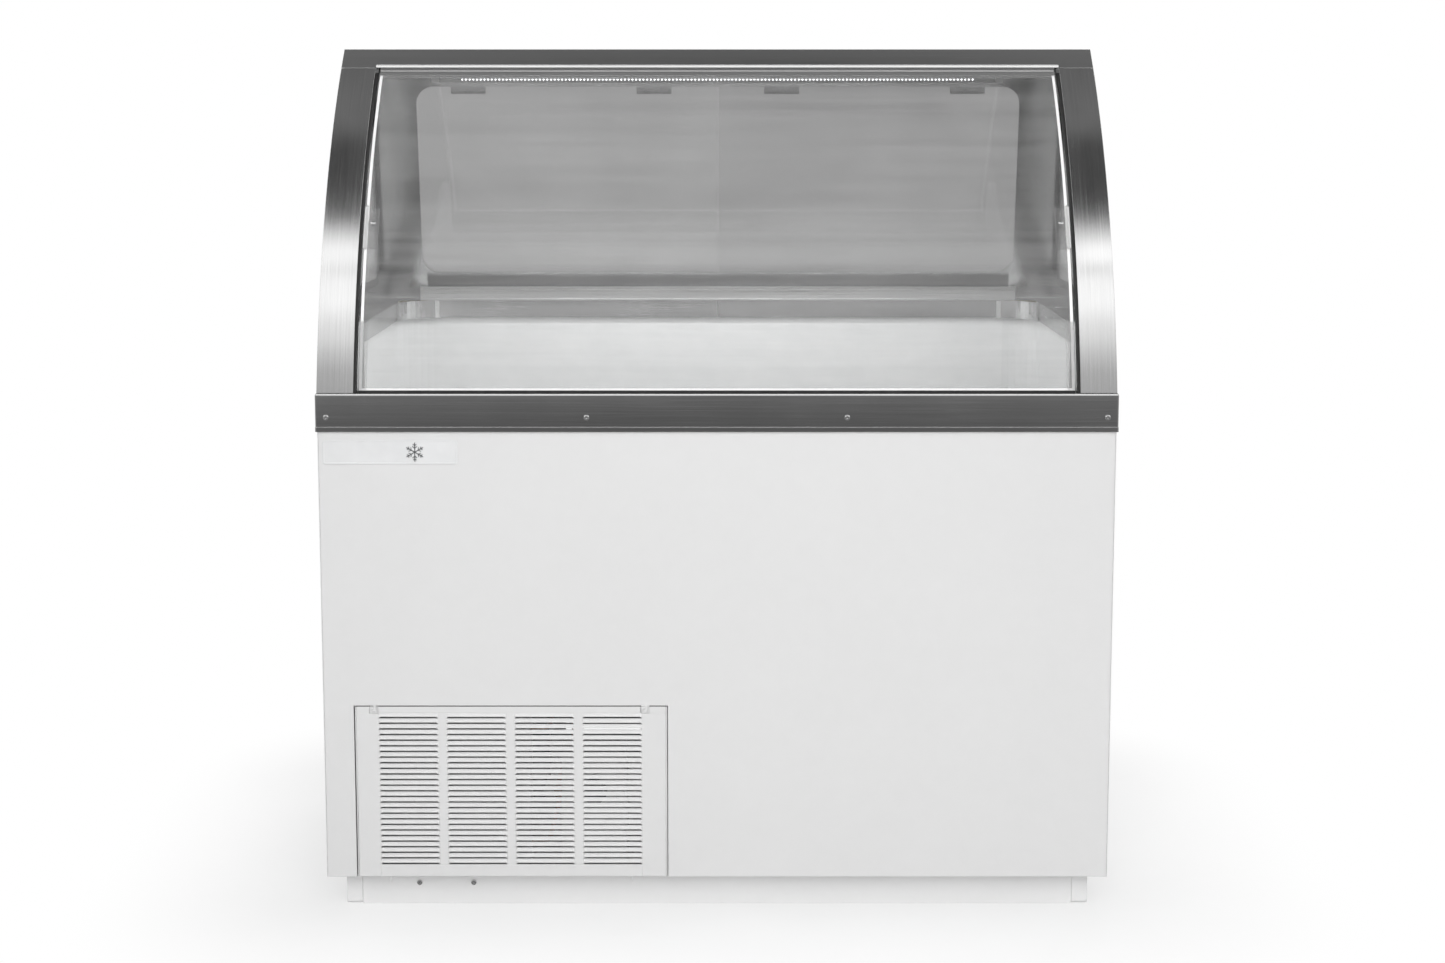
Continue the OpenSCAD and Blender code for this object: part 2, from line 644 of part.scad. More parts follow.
module lid_bumpers() color("black") pair() for (x = [30, 525], v = [28, 200]) on_slope()
  if (x > 100 || v < 100) translate([x, 0, v]) rotate([-90, 0, 0]) cylinder(h = lid_gap - 0.1, r = 5);

// Rocker switch for the lamp, beside the right-hand lid.
switch_x = 560;
switch_v = 330;
switch_w = 22;
module light_switch_bezel() color("black") slope_plate(0, 3) translate([switch_x, switch_v]) difference() {
  square([switch_w + 8, 36], center = true);
  square([switch_w, 28], center = true);
}
rocker_n = 4;                                  // its pivot, off the rear frame
rocker_tilt = 8;
module light_switch_rocker() color("black") on_slope() translate([switch_x - 10.5, rocker_n, switch_v])
  rotate([90, 0, 90]) {
    linear_extrude(21) rotate(rocker_tilt)
      polygon([[-3, 0], [-1, -12], [4, -12.3], [2.5, 0], [4, 12.3], [-1, 12]]);
    translate([0, 0, -0.35]) cylinder(h = 21.7, r = 2);
  }

// ---------- grille ----------

louvre_w = 91;
louvre_pitch_x = 103.7;
louvre_pitch_z = 8.86;
louvre_x0 = -516.4;
louvre_z1 = 307;
module grille_panel() color("white") {
  x0 = grille_x0 + 2.5;
  x1 = grille_x1 - 2;
  top = grille_top - 2;
  difference() {
    union() {
      block(x0, x1, 0, skin, body_bottom + 0.5, top);
      block(x0, x0 + skin, skin, 12, body_bottom + 2, top);
      block(x1 - skin, x1, skin, 12, body_bottom + 2, top);
      for (x = [-502, -130]) block(x - 1, x + 1, 0, skin, body_bottom - 8, body_bottom + 0.5);
    }
    for (col = [0:louvre_cols - 1], row = [0:louvre_rows - 1]) {
      x = louvre_x0 + col * louvre_pitch_x;
      z = louvre_z1 - row * louvre_pitch_z;
      block(x, x + louvre_w, -1, 3, z - 3, z);
    }
    for (x = tab_xs) block(x - 8, x + 5, -1, 3, top - 11, top + 1);
  }
}

// ---------- refrigeration ----------

comp_x = -400;
comp_y = front_y + 440;
comp_z = 76;
module compressor() color("black") {
  translate([comp_x, comp_y, comp_z]) {
    rotate_extrude($fn = 64) polygon(concat(
      [[0, 3], [70, 3], [80, 20], [80, 60], [84, 62], [84, 70], [80, 72], [80, 100]],
      [for (a = [0:15:90]) [30 + 50 * cos(a), 100 + 45 * sin(a)]], [[0, 145]]));
    translate([-105, -75, 0]) cube([210, 150, 3]);
    translate([78, -28, 40]) cube([32, 56, 60]);
  }
  rod([comp_x + 40, comp_y - 40, comp_z + 135], [comp_x + 40, comp_y - 40, comp_z + 165], 6);
  rod([comp_x - 40, comp_y - 40, comp_z + 135], [comp_x - 40, comp_y - 40, comp_z + 165], 6);
}
module compressor_feet() color("dimgray") for (x = [-90, 90], y = [-60, 60])
  translate([comp_x + x, comp_y + y, body_bottom + 1.5]) {
    cylinder(h = 7, r = 15);
    cylinder(h = comp_z - body_bottom - 1.5, r = 11);
  }

cond_x0 = -540;
cond_x1 = -290;
module condenser() color("silver") {
  difference() {
    block(cond_x0, cond_x1, 45, 85, 74, 296);
    for (z = [80:6:290]) block(cond_x0 + 6, cond_x1 - 6, 44, 48, z, z + 3);
  }
  block(cond_x0, cond_x1, 50, 80, body_bottom + 1.5, 74);
}

module fan_shroud() color("silver") difference() {
  union() {
    block(cond_x0, cond_x1, 92, 94, body_bottom + 1.5, 300);
    translate([fan_x, front_y + 120, fan_z]) rotate([90, 0, 0]) cylinder(h = 27, r = fan_r + 6, $fn = 96);
  }
  translate([fan_x, front_y + 130, fan_z]) rotate([90, 0, 0]) cylinder(h = 60, r = fan_r + 4, $fn = 96);
}

shaft_r = 4;
module fan_motor() color("dimgray") {
  translate([fan_x, front_y, fan_z]) rotate([-90, 0, 0]) {
    translate([0, 0, 150]) cylinder(h = 60, r = 42);
    translate([0, 0, 104]) cylinder(h = 50, r = shaft_r);
  }
  block(fan_x - 20, fan_x + 20, 170, 200, body_bottom + 1.5, fan_z - 38);
}
module fan_blade() color("lightgrey") translate([fan_x, front_y + 116, fan_z]) difference() {
  union() {
    rotate([90, 0, 0]) cylinder(h = 24, r = 20, center = true);
    for (a = [0:72:288]) rotate([0, a, 0]) translate([54, 0, 0]) rotate([28, 0, 0]) cube([72, 2, 42], center = true);
  }
  rotate([90, 0, 0]) cylinder(h = 60, r = shaft_r + 0.05, center = true);
}

module refrigerant_pipes() color("peru") {
  a = [comp_x + 40, comp_y - 40, comp_z + 165];
  b = [comp_x - 40, comp_y - 40, comp_z + 165];
  out_x = -262;
  top = a.z + 30;
  cond_y = front_y + 65;
  rear_y = front_y + 600;
  // discharge line to the condenser's top
  pipe([a, [a.x, a.y, top], [out_x, a.y, top], [out_x, cond_y, top], [cond_x1, cond_y, top]], 4);
  // suction line up into the foam
  pipe([b, [b.x, b.y, top], [b.x, rear_y, top], [b.x, rear_y, compartment_z1 - 1.2]], 5);
  // liquid line through the drier
  pipe([[cond_x1, cond_y, 90], [out_x, cond_y, 90], [out_x, front_y + 299.9, 90]], 4);
  translate([out_x, front_y + 300, 90]) rotate([-90, 0, 0]) cylinder(h = 110, r = 12);
  pipe([[out_x, front_y + 410.1, 90], [out_x, rear_y, 90], [out_x, rear_y, compartment_z1 - 1.2]], 3);
}

module control_box() color("lightgrey") {
  block(-240, -140, 32, 110, body_bottom + 1.5, 240);
  translate([knob_x, front_y + 32, knob_z]) rotate([90, 0, 0]) cylinder(h = 12, r = 3);
}
module thermostat_knob() color("black") translate([knob_x, front_y + 31.6, knob_z]) rotate([90, 0, 0]) difference() {
  union() {
    cylinder(h = 4, r = 20);
    cylinder(h = 15, r = 15);
    translate([-2, 0, 14]) cube([4, 14, 3]);
  }
  translate([0, 0, -1]) cylinder(h = 14, r = 3.05);
}

module cord_gland() color("black") translate([gland_x, front_y + body_d, gland_z]) rotate([-90, 0, 0]) difference() {
  union() {
    cylinder(h = 6, r = 14, $fn = 6);
    cylinder(h = 20, r1 = 10, r2 = 7);
    translate([0, 0, -6]) cylinder(h = 6, r = 7.8);
  }
  translate([0, 0, -10]) cylinder(h = 50, r = 4);
}

base_rails();
bottom_pan();
front_panel();
side_panel_left();
side_panel_right();
rear_panel();
insulation();
liner();
compartment_lining();
evaporator_coil();
front_sill();
trim_band_front();
trim_band_sides();
name_plate();
breaker_strip_left();
breaker_strip_right();
breaker_corner_caps();
side_decks();
rear_rail();
rear_ledge();
drain_tube();
drain_plug();
panel_screws();
end_frame_left();
end_frame_right();
side_glasses();
side_glass_gaskets();
top_cap();
glass_hinge_rail();
glass_seals();
led_housing();
led_strip();
rear_frame();
lid_hinge_bases();
lid_hinge_pins();
lid_bumpers();
light_switch_bezel();
light_switch_rocker();
front_glass();
glass_hinge_clamp();
glass_edge_guards();
glass_clips();
glass_clip_screws();
lid_left_panel();
lid_right_panel();
lid_left_grip();
lid_right_grip();
lid_left_hinge_leaves();
lid_right_hinge_leaves();
grille_panel();
compressor();
compressor_feet();
condenser();
fan_shroud();
fan_motor();
fan_blade();
refrigerant_pipes();
control_box();
thermostat_knob();
cord_gland();
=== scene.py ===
import math
import random
from collections import Counter

import bpy
from mathutils import Matrix, Vector


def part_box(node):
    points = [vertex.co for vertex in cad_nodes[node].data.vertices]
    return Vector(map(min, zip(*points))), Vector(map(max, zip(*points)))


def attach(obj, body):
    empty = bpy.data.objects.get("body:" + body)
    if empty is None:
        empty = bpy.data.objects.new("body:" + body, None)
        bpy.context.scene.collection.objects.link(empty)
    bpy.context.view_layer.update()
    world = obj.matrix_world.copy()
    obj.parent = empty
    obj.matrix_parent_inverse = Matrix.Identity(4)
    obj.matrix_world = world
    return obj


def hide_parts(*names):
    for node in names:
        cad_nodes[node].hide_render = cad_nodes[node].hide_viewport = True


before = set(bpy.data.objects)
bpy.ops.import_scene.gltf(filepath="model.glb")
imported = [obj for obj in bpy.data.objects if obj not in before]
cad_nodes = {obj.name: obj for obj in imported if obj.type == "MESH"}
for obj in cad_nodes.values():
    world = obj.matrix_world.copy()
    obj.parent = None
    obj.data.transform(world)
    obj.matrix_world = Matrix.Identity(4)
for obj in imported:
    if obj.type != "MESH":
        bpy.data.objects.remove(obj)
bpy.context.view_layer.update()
random.seed(7)

# The cabinet's own lines, in metres, as the CAD has them. X is to the right, Y to the rear and Z up.
FRONT = -0.347                # Y of the front panel's face
ARC_Y = FRONT + 0.9362457     # centre of the curved front
ARC_Z = 0.601
GLASS_R = 0.955               # outer radius of the front glass
DECK_Z = 0.895                # top of the side decks
FORWARD, BACKWARD, UP = (0, -1, 0), (0, 1, 0), (0, 0, 1)


# ---------- camera ----------

CAMERA_DIP = 6.877            # degrees below level

camera = bpy.data.objects.new("camera", bpy.data.cameras.new("camera"))
bpy.context.scene.collection.objects.link(camera)
camera.location = (0.0106, -3.5606, 1.2333)
camera.rotation_euler = (math.radians(90 - CAMERA_DIP), 0, 0)
camera.data.sensor_width = 36        # mm
camera.data.lens = 53.92             # mm
camera.data.shift_x = -0.001
camera.data.shift_y = -0.08
camera.data.clip_start, camera.data.clip_end = 0.05, 200
bpy.context.scene.camera = camera


# ---------- shader nodes ----------

class Tree:
    """A node tree, with short ways to add and join its nodes."""

    def __init__(self, tree):
        self.tree = tree

    def join(self, value, socket):
        """Gives a socket a constant or another node's output."""
        if isinstance(value, (int, float, tuple)):
            socket.default_value = value
        else:
            self.tree.links.new(value, socket)

    def add(self, kind, values=None, links=None, **settings):
        node = self.tree.nodes.new(kind)
        for key, value in settings.items():
            setattr(node, key, value)
        for key, value in (values or {}).items():
            node.inputs[key].default_value = value
        for key, output in (links or {}).items():
            self.tree.links.new(output, node.inputs[key])
        return node

    def math(self, operation, a, b=0.0):
        node = self.add("ShaderNodeMath", operation=operation)
        self.join(a, node.inputs[0])
        self.join(b, node.inputs[1])
        return node.outputs[0]

    def choose(self, fac, a, b):
        """Colour a where fac is 0, and b where it is 1."""
        node = self.add("ShaderNodeMix", data_type="RGBA")
        for i, value in ((0, fac), (6, a), (7, b)):   # the factor and the two colours
            self.join(value, node.inputs[i])
        return node.outputs[2]

    def coords(self, scale=(1, 1, 1)):
        """Places in the object's own space."""
        place = self.add("ShaderNodeTexCoord").outputs["Object"]
        return self.add("ShaderNodeMapping", {"Scale": scale}, {"Vector": place}).outputs[0]

    def noise(self, scale, detail, rough=0.5, vector=None, distortion=0.0):
        values = {"Scale": scale, "Detail": detail, "Roughness": rough, "Distortion": distortion}
        links = {"Vector": vector if vector is not None else self.coords()}
        return self.add("ShaderNodeTexNoise", values, links).outputs["Fac"]

    def ramp(self, fac, stops):
        """A colour ramp. Each stop is a place and a brightness or a colour."""
        node = self.add("ShaderNodeValToRGB", links={"Fac": fac})
        elements = node.color_ramp.elements
        while len(elements) < len(stops):
            elements.new(0.5)
        for element, (place, colour) in zip(elements, stops):
            element.position = place
            element.color = opaque(grey(colour) if isinstance(colour, (int, float)) else colour)
        return node.outputs["Color"]

    def tones(self, fac, dark, light, start=0.3, end=0.7):
        """A ramp between two colours."""
        return self.ramp(fac, [(start, dark), (end, light)])

    def spread(self, fac, low, high, start=0.3, end=0.7):
        """Takes the range from start to end to the range from low to high."""
        values = {"From Min": start, "From Max": end, "To Min": low, "To Max": high}
        return self.add("ShaderNodeMapRange", values, {"Value": fac}).outputs[0]


class Surface(Tree):
    """A new material."""

    def __init__(self, name):
        self.material = bpy.data.materials.new(name)
        self.material.use_nodes = True
        super().__init__(self.material.node_tree)
        self.bsdf = self.tree.nodes["Principled BSDF"]
        self.out = self.tree.nodes["Material Output"]

    def set(self, **sockets):
        for key, value in sockets.items():
            self.join(value, self.bsdf.inputs[key.replace("_", " ")])

    def relief(self, height, strength, distance, edge=0.0008):
        """Bump on top of edges that are softened by a radius."""
        links = {"Height": height}
        if edge:
            links["Normal"] = self.add("ShaderNodeBevel", {"Radius": edge}, samples=4).outputs[0]
        bump = self.add("ShaderNodeBump", {"Strength": strength, "Distance": distance}, links)
        self.join(bump.outputs[0], self.bsdf.inputs["Normal"])
        return self

    def mixed_with(self, shader, fac):
        """Another shader over this one, as far as fac says."""
        mix = self.add("ShaderNodeMixShader", links={0: fac, 1: self.bsdf.outputs[0], 2: shader.outputs[0]})
        self.join(mix.outputs[0], self.out.inputs["Surface"])
        return self


def grey(value):
    return (value, value, value)


def opaque(colour):
    return (*colour, 1)


# ---------- materials ----------

def white_paint(name, low, high):
    m = Surface(name)
    broad = m.noise(2.2, 3)
    dust = m.noise(38, 4, 0.6)
    tone = m.math("ADD", m.spread(broad, -0.01, 0.01), m.spread(dust, -0.008, 0.008))
    m.set(Base_Color=m.tones(m.math("ADD", tone, 0.5), grey(low), grey(high), 0.46, 0.54),
          Roughness=m.spread(m.noise(9, 2), 0.36, 0.46), Specular_IOR_Level=0.5)
    return m.relief(m.noise(700, 1), 0.05, 0.0004, 0.0012).material


def white_plastic():
    m = Surface("white_liner_plastic")
    scuff = m.noise(26, 5, 0.65)
    m.set(Base_Color=m.tones(scuff, (0.80, 0.81, 0.81), (0.86, 0.865, 0.865)),
          Roughness=m.spread(m.noise(60, 3), 0.3, 0.42), Coat_Weight=0.15, Coat_Roughness=0.2)
    return m.relief(m.noise(420, 2), 0.06, 0.0005, 0.002).material


def steel(name, scale, dark=0.56, light=0.68, axis="Z", side_scale=None, metal=1.0, rough=(0.11, 0.2)):
    """Brushed sheet. Its grain runs along the axis whose scale is small, and on faces that look sideways
    it can have a scale of its own."""
    m = Surface(name)
    grain_at = m.coords(scale)
    if side_scale:
        normal = m.add("ShaderNodeTexCoord").outputs["Normal"]
        across = m.add("ShaderNodeSeparateXYZ", links={"Vector": normal}).outputs[0]
        sideways = m.math("GREATER_THAN", m.math("ABSOLUTE", across), 0.5)
        links = {0: sideways, 4: grain_at, 5: m.coords(side_scale)}
        grain_at = m.add("ShaderNodeMix", data_type="VECTOR", links=links).outputs[1]
    grain = m.noise(1, 3, 0.65, grain_at)
    fine = m.noise(2.7, 2, 0.6, grain_at)
    wipe = m.noise(6, 4, 0.6)
    tone = m.math("ADD", m.math("MULTIPLY", grain, 0.6), m.math("MULTIPLY", fine, 0.4))
    tangent = m.add("ShaderNodeTangent", direction_type="RADIAL", axis=axis)
    m.set(Base_Color=m.tones(tone, grey(dark), grey(light)), Metallic=metal,
          Roughness=m.math("ADD", m.spread(tone, *rough), m.spread(wipe, -0.02, 0.06)),
          Anisotropic=0.5, Tangent=tangent.outputs[0])
    return m.relief(tone, 0.08, 0.0002, 0.0012).material


def polished():
    m = Surface("polished_steel")
    smear = m.noise(45, 4, 0.6)
    m.set(Base_Color=m.tones(smear, grey(0.66), grey(0.78)), Metallic=1.0,
          Roughness=m.spread(smear, 0.07, 0.17))
    return m.relief(m.noise(900, 2), 0.04, 0.0002, 0.0004).material


def aluminium():
    m = Surface("satin_aluminium")
    grain = m.noise(1, 3, 0.6, m.coords((4, 700, 700)))
    m.set(Base_Color=m.tones(grain, grey(0.54), grey(0.68)), Metallic=0.88,
          Roughness=m.spread(grain, 0.26, 0.36))
    return m.relief(grain, 0.08, 0.0002, 0.0005).material


def zinc():
    m = Surface("galvanised_sheet")
    flakes = m.add("ShaderNodeTexVoronoi", {"Scale": 150, "Randomness": 1.0}, {"Vector": m.coords()},
                   feature="F1")
    flake = m.add("ShaderNodeSeparateColor", links={"Color": flakes.outputs["Color"]}).outputs[0]
    tone = m.math("ADD", m.math("MULTIPLY", flake, 0.2), m.math("MULTIPLY", m.noise(5, 3), 0.8))
    m.set(Base_Color=m.tones(tone, grey(0.60), grey(0.68), 0.25), Metallic=0.6,
          Roughness=m.spread(tone, 0.4, 0.5, 0.2, 0.8))
    return m.relief(flake, 0.05, 0.0003, 0.0008).material


def copper():
    m = Surface("copper_tube")
    stain = m.noise(55, 5, 0.65)
    browns = [(0.3, (0.50, 0.21, 0.11)), (0.55, (0.72, 0.36, 0.22)), (0.8, (0.80, 0.45, 0.30))]
    m.set(Base_Color=m.ramp(stain, browns), Metallic=1.0, Roughness=m.spread(stain, 0.24, 0.45))
    return m.relief(m.noise(300, 2), 0.1, 0.0003, 0).material


def foam():
    m = Surface("rigid_foam")
    cells = m.add("ShaderNodeTexVoronoi", {"Scale": 420, "Randomness": 1.0}, {"Vector": m.coords()})
    m.set(Base_Color=m.tones(m.noise(30, 5, 0.7), (0.70, 0.58, 0.32), (0.86, 0.76, 0.50)), Roughness=0.9)
    return m.relief(cells.outputs["Distance"], 0.5, 0.0012, 0).material


def rubber():
    m = Surface("black_rubber")
    bloom = m.noise(70, 5, 0.6)
    m.set(Base_Color=m.tones(bloom, grey(0.016), grey(0.04)), Roughness=m.spread(bloom, 0.55, 0.75))
    return m.relief(m.noise(500, 2), 0.12, 0.0004, 0.0006).material


def plastic(name, low, high, rough=(0.35, 0.5), clear=0.0):
    m = Surface(name)
    cloud = m.noise(40, 4, 0.6)
    m.set(Base_Color=m.tones(cloud, low, high), Roughness=m.spread(cloud, *rough), Transmission_Weight=clear)
    return m.relief(m.noise(800, 1), 0.15, 0.0003, 0.0006).material


def black_enamel():
    m = Surface("black_enamel")
    run = m.noise(18, 4, 0.6)
    m.set(Base_Color=m.tones(run, grey(0.02), grey(0.05)), Roughness=m.spread(run, 0.24, 0.4),
          Coat_Weight=0.3)
    return m.relief(m.noise(160, 3), 0.12, 0.0008, 0.0015).material


def see_through(name, tint, ior, rough, smear_to, mottle=0.012):
    """Clear sheet: lamps shine through it, and smears dull its gloss in places. Its pale streaks and clouds,
    where less light goes through, are painted reflection.
    """
    m = Surface(name)
    smear = m.noise(7, 6, 0.62, distortion=0.6)
    # Pale horizontal streaks and clouds that let less light through: painted reflection.
    reflection_streaks = m.noise(1, 4, 0.7, m.coords((0.9, 1.5, 34)))
    reflection_clouds = m.noise(3.2, 5, 0.6, distortion=0.8)
    painted_reflection = m.math("ADD", m.spread(reflection_streaks, -mottle / 2, mottle / 2), m.spread(reflection_clouds, mottle / 2, mottle * 1.3))
    darker_tint = tuple(0.97 * channel for channel in tint)
    m.set(Base_Color=m.tones(smear, tint, darker_tint, 0.35, 0.75), IOR=ior,
          Transmission_Weight=m.math("SUBTRACT", 1.0, painted_reflection),
          Roughness=m.spread(smear, rough, smear_to, 0.5, 0.8))
    shadow = m.add("ShaderNodeLightPath").outputs["Is Shadow Ray"]
    return m.mixed_with(m.add("ShaderNodeBsdfTransparent", {"Color": opaque(darker_tint)}), shadow).material


def glass_edge():
    m = Surface("ground_glass_edge_with_painted_glow")
    chip = m.noise(1, 3, 0.7, m.coords((400, 60, 60)))
    # The ground edge also glows a little though no lamp is in it: painted highlight for the glass's bright
    # edge line.
    m.set(Base_Color=m.tones(chip, grey(0.72), grey(0.84)), Roughness=m.spread(chip, 0.25, 0.5),
          Emission_Color=(0.95, 0.96, 0.96, 1), Emission_Strength=0.22)
    return m.relief(chip, 0.1, 0.0003, 0).material


def lamp():
    m = Surface("lit_lamps")
    m.set(Base_Color=(1, 1, 1, 1), Roughness=0.3,
          Emission_Color=m.tones(m.noise(900, 1), (0.92, 0.95, 1.0), (1, 1, 1)), Emission_Strength=3.6)
    return m.material


def board():
    m = Surface("lamp_board_with_painted_glow")
    track = m.noise(1, 2, 0.6, m.coords((170, 3, 900)))
    # The board glows faintly though it is no lamp: painted light.
    m.set(Base_Color=m.tones(track, grey(0.34), grey(0.42), 0.4, 0.6), Roughness=0.45,
          Emission_Color=(1, 1, 1, 1), Emission_Strength=0.06)
    return m.material


def plate_plastic():
    m = Surface("name_plate_plastic")
    mottle = m.noise(20, 3, 0.6)
    m.set(Base_Color=m.tones(mottle, (0.74, 0.745, 0.75), (0.79, 0.795, 0.80)),
          Roughness=m.spread(mottle, 0.1, 0.2), Coat_Weight=0.5, Coat_Roughness=0.08)
    return m.relief(m.noise(250, 2), 0.03, 0.0003, 0.0006).material


MATERIALS = {
    "paint": white_paint("white_powder_coat", 0.70, 0.75),
    # The plinth's paint is the body's white made lighter: painted light on the base's front.
    "plinth": white_paint("white_plinth_paint_lightened", 0.85, 0.90),
    "liner": white_plastic(),
    "steel_x": steel("brushed_steel_along", (4, 900, 900), axis="X"),
    "steel_y": steel("brushed_steel_deep", (900, 4, 900), axis="X"),
    "steel_arc": steel("brushed_steel_curved", (900, 5, 5), side_scale=(3, 5, 900)),
    "satin": steel("satin_steel", (5, 5, 700), 0.42, 0.56, metal=0.96, rough=(0.16, 0.26)),
    "polished": polished(),
    "aluminium": aluminium(),
    "zinc": zinc(),
    "copper": copper(),
    "foam": foam(),
    "rubber": rubber(),
    "black": plastic("black_plastic", grey(0.018), grey(0.035)),
    "grey": plastic("dark_grey_plastic", (0.13, 0.135, 0.14), (0.19, 0.195, 0.20)),
    "enamel": black_enamel(),
    "glass": see_through("clear_glass", grey(0.965), 1.5, 0.0, 0.012, 0.05),
    "acrylic": see_through("clear_acrylic", grey(0.955), 1.49, 0.01, 0.07),
    # The right lid's acrylic is a darker copy of the left lid's: painted shade.
    "darker_tint": see_through("acrylic_darkened_as_painted_shade", grey(0.885), 1.49, 0.02, 0.1),
    "frosted": plastic("frosted_plastic", grey(0.70), grey(0.80), (0.3, 0.5), 0.45),
    "edge": glass_edge(),
    "lamp": lamp(),
    "board": board(),
    "plate": plate_plastic(),
}

# The CAD's own pieces that stay, by material.
FINISH = {
    # The base rails get the lighter copy of the white paint: painted light.
    "plinth": ["base_rails"],
    "paint": ["front_panel", "side_panel_left", "side_panel_right"],
    "zinc": ["bottom_pan", "rear_panel", "compartment_lining", "fan_shroud", "control_box"],
    "foam": ["insulation"],
    "liner": ["liner", "drain_tube"],
    "copper": ["evaporator_coil", "refrigerant_pipes"],
    "steel_x": ["front_sill", "rear_ledge", "top_cap", "rear_frame"],
    "steel_y": ["trim_band_sides"],
    "satin": ["breaker_strip_left", "breaker_strip_right", "side_decks"],
    "steel_arc": ["end_frame_left", "end_frame_right"],
    "polished": ["breaker_corner_caps", "lid_hinge_bases", "lid_hinge_pins",
                 "lid_left_hinge_leaves", "lid_right_hinge_leaves"],
    "aluminium": ["rear_rail", "glass_hinge_rail", "glass_hinge_clamp", "led_housing",
                  "condenser", "fan_blade"],
    "rubber": ["side_glass_gaskets", "glass_seals", "lid_bumpers", "compressor_feet", "drain_plug"],
    "glass": ["side_glasses"],
    "acrylic": ["lid_left_panel", "glass_edge_guards", "glass_clips"],
    # The right lid has the darker acrylic, painted shade.
    "darker_tint": ["lid_right_panel"],
    "grey": ["lid_left_grip", "lid_right_grip"],
    "black": ["light_switch_bezel", "light_switch_rocker", "thermostat_knob", "cord_gland"],
    "enamel": ["compressor", "fan_motor"],
    "board": ["led_strip"],
}
for key, names in FINISH.items():
    for name in names:
        slots = cad_nodes[name].data.materials
        slots.clear()
        slots.append(MATERIALS[key])


# ---------- mesh helpers ----------

def piece(name, build, materials, body, node=None, smooth=40):
    """A new piece that rides on a body, and replaces a CAD node where one is named."""
    mesh = bpy.data.meshes.new(name)
    mesh.from_pydata([tuple(p) for p in build.points], [], build.faces)
    for key in materials:
        mesh.materials.append(MATERIALS[key])
    mesh.polygons.foreach_set("material_index", build.kinds)
    mesh.validate()
    if smooth:
        mesh.shade_smooth()
        mesh.set_sharp_from_angle(angle=math.radians(smooth))
        uses = Counter(key for polygon in mesh.polygons for key in polygon.edge_keys)
        for edge in mesh.edges:
            if uses[edge.key] == 1:
                edge.use_edge_sharp = True
    obj = bpy.data.objects.new(name, mesh)
    bpy.context.scene.collection.objects.link(obj)
    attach(obj, body)
    if node:
        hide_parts(node)
    return obj


class Build:
    """Collects points and faces for one piece. A face's kind says which of the piece's materials it has."""

    def __init__(self):
        self.points, self.faces, self.kinds = [], [], []

    def add(self, points, faces, kind=0):
        """Adds points, and faces that count from the first of them."""
        base = len(self.points)
        self.points += points
        self.faces += [tuple(base + i for i in face) for face in faces]
        self.kinds += [kind] * len(faces)

    def grid(self, rows):
        """Rows of points, joined to their neighbours by quads."""
        w = len(rows[0])
        starts = [i * w + j for i in range(len(rows) - 1) for j in range(w - 1)]
        self.add([point for row in rows for point in row], [(a, a + 1, a + w + 1, a + w) for a in starts])

    def quad(self, corners, kind=0):
        self.add(corners, [(0, 1, 2, 3)], kind)

    def turned(self, matrix, rings, steps, dent=None):
        """A turned shape about Z from (radius, height) pairs, put in place by a matrix. The dent lowers
        points, for a recess."""
        points = []
        for radius, height in rings:
            for k in range(steps):
                a = 2 * math.pi * k / steps
                x, y = radius * math.cos(a), radius * math.sin(a)
                points.append(matrix @ Vector((x, y, height - (dent(x, y) if dent else 0))))
        faces = []
        for i in range(len(rings) - 1):
            for k in range(steps):
                a, b = i * steps + k, i * steps + (k + 1) % steps
                faces.append((a, b, b + steps, a + steps))
        last = (len(rings) - 1) * steps
        self.add(points, faces + [tuple(last + k for k in range(steps))])


def facing(point, normal):
    """A matrix whose Z is the normal, placed at a point."""
    z = Vector(normal).normalized()
    x = Vector(UP).cross(z)
    x = x.normalized() if x.length > 1e-6 else Vector((1, 0, 0))
    return Matrix.Translation(point) @ Matrix((x, z.cross(x), z)).transposed().to_4x4()


def arc_angle(z):
    """How far above level the front glass is at a height, from the centre of its arc."""
    return math.asin((z - ARC_Z) / GLASS_R)


def arc_out(a):
    """The way out of the arc at an angle above level."""
    return Vector((0, -math.cos(a), math.sin(a)))


def arc_point(x, a, radius):
    return Vector((x, ARC_Y, ARC_Z)) + arc_out(a) * radius


# ---------- screws ----------

SCREW_R, CLIP_SCREW_R, CLIP_SCREW_H = 0.0045, 0.004, 0.0024
CLIP_SCREW_X, CLIP_SCREW_Z, CLIP_OUT = 0.525, 1.053, 0.002
# X places, depth behind the front, heights, the way the heads face and how far they stand out
SCREWS = (
    ((-0.586, -0.1955, 0.1955, 0.586), -0.0025, (0.768,), FORWARD, 0.0029),   # in the trim band
    ((-0.462, -0.378), 0.030, (0.034,), FORWARD, 0.0029),                     # in the base
    ((-0.563, 0.563), 0.377, (DECK_Z,), UP, 0.002),                           # in the side decks
    ((-0.575, 0, 0.575), 0.660, (0.080, 0.700), BACKWARD, 0.0029),            # in the rear panel
)


